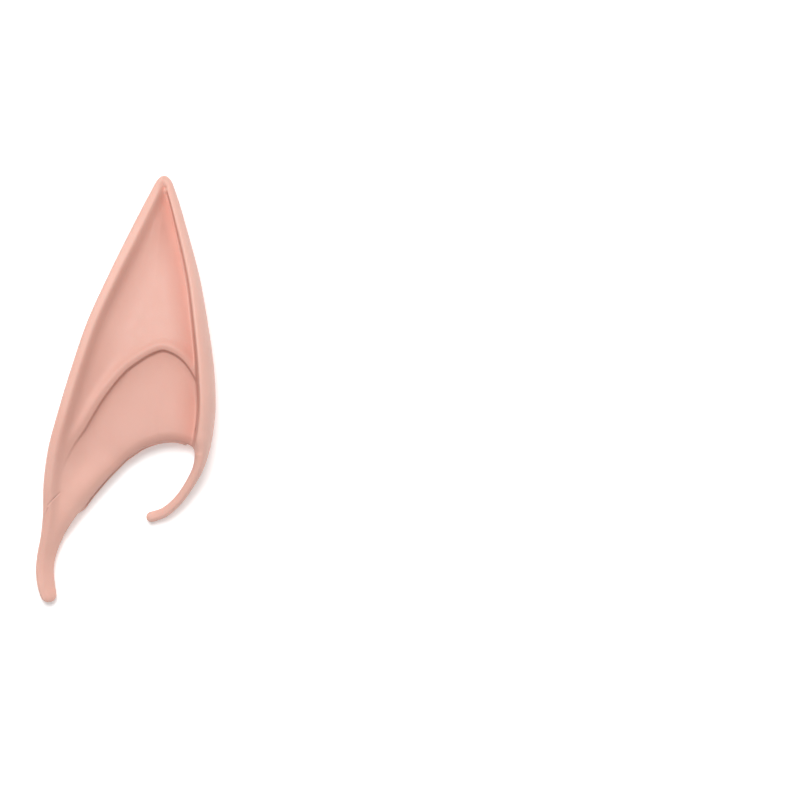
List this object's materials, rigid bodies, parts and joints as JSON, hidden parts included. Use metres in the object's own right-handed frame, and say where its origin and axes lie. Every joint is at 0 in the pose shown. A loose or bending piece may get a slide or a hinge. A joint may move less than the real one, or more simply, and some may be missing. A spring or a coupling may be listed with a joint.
{
  "type": "elf ear tip",
  "caption": "Slip-on pointed costume ear in moulded latex, hollow for the wearer's ear, with a hook that goes round the lobe and a tapering tail.",
  "frame": {"origin": "centre of the bounding box in plan, on the surface that the back rests on", "axes": "+Y from the tail to the pointed tip, +X towards the hook's side, +Z out of the front"},
  "size_m": [0.0506, 0.1192, 0.0185],
  "materials": {
    "latex": "matte, slightly satin"
  },
  "bodies": {
    "root": {"ear_shell": "latex"}
  },
  "joints": []
}
